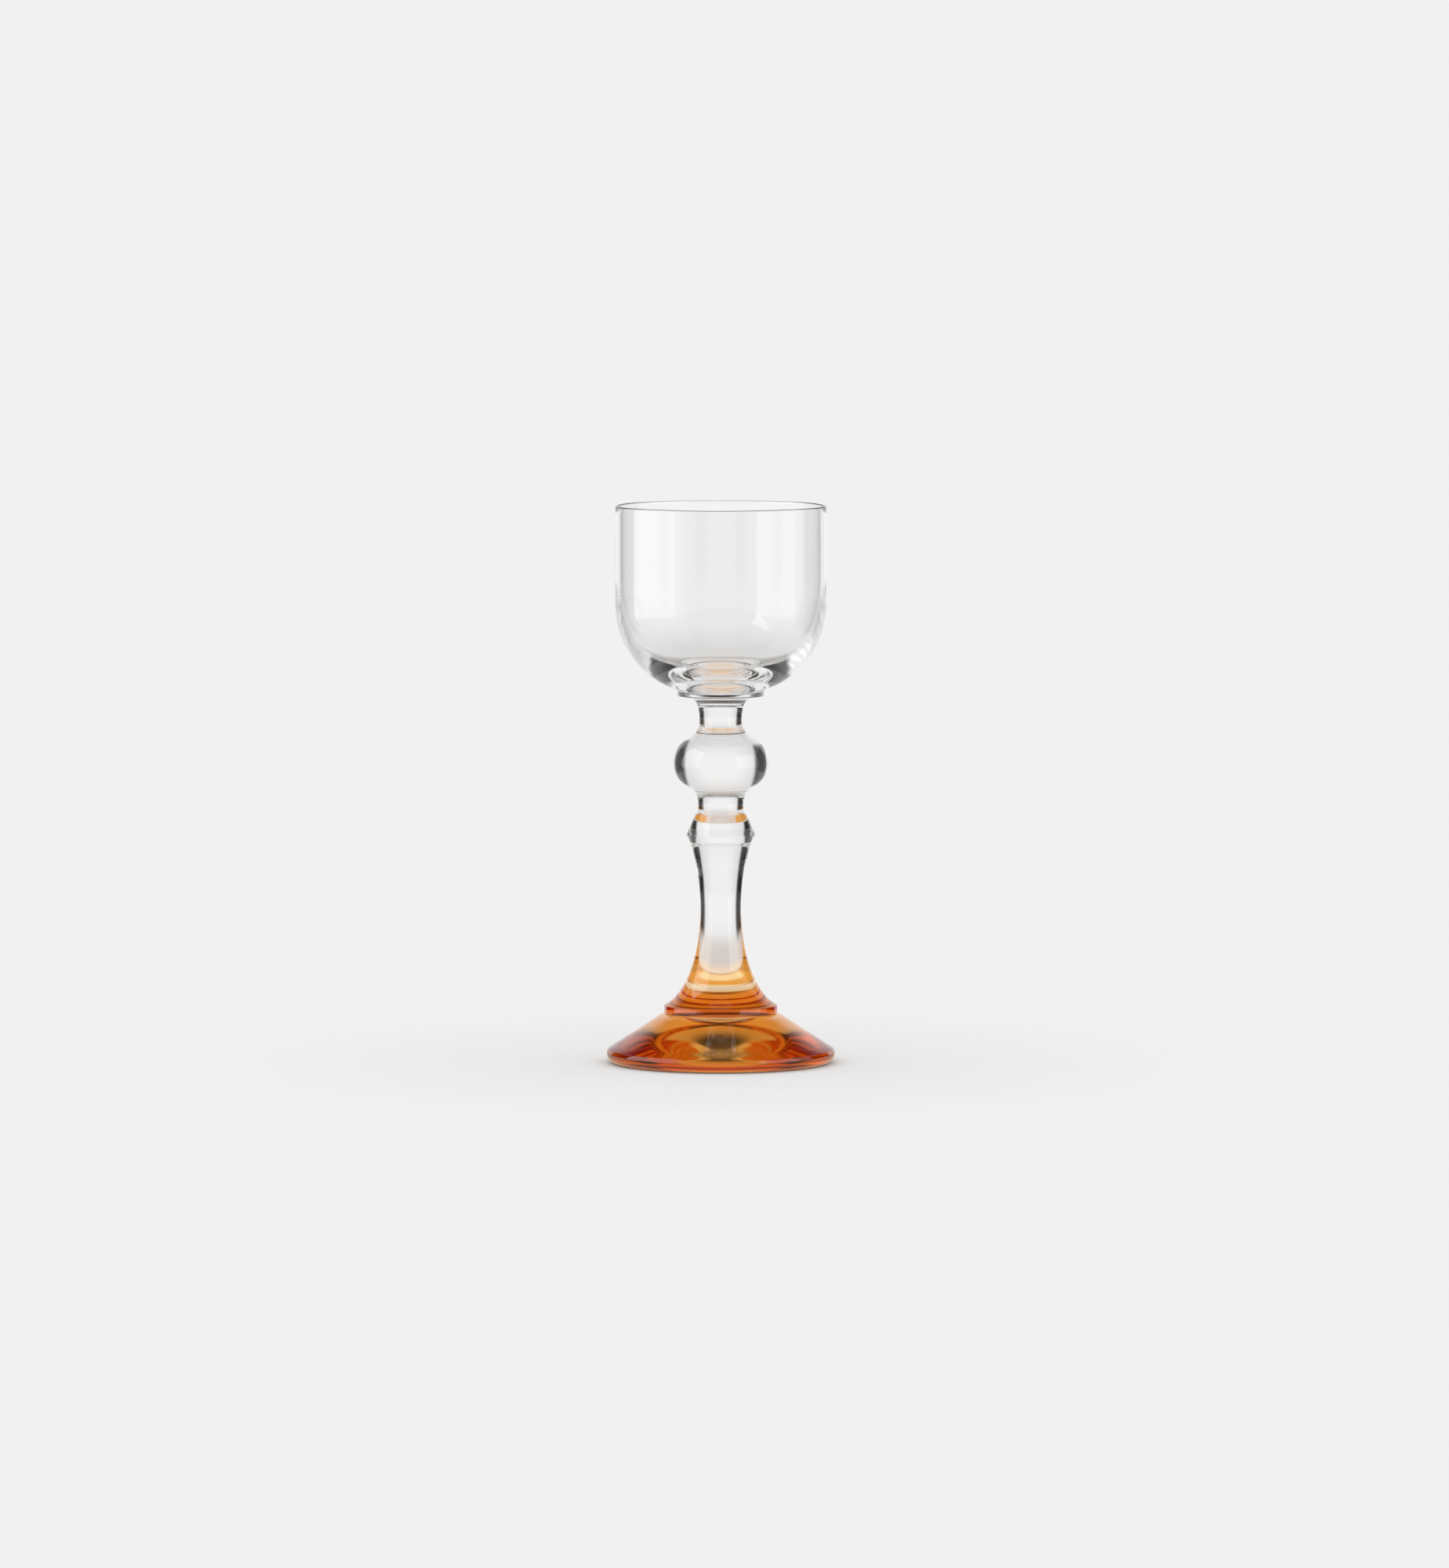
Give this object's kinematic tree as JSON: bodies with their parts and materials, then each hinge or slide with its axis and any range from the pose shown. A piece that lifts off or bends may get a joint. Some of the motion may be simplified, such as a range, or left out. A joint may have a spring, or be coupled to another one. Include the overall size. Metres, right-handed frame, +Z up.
{
  "type": "vodka glass",
  "caption": "Clear stemmed vodka glass: straight-sided bowl with a round belly and a small solid heel on a merese, ball knop, angular knop and trumpet shank, over an amber conical foot with a shallow kick.",
  "frame": {"origin": "middle of the base, on the table", "axes": "+Z up along the axis the glass is turned about; X and Y are any two square directions across it"},
  "size_m": [0.0552, 0.0552, 0.135],
  "materials": {
    "clear_glass": "clear fire-polished soda glass",
    "amber_glass": "amber glass coloured in the body, fire-polished"
  },
  "bodies": {
    "root": {"foot": "amber_glass", "foot_ring": "amber_glass", "shank": "clear_glass", "angular_knop": "clear_glass", "lower_neck": "clear_glass", "ball_knop": "clear_glass", "upper_neck": "clear_glass", "bowl_merese": "clear_glass", "bowl": "clear_glass"}
  },
  "joints": []
}
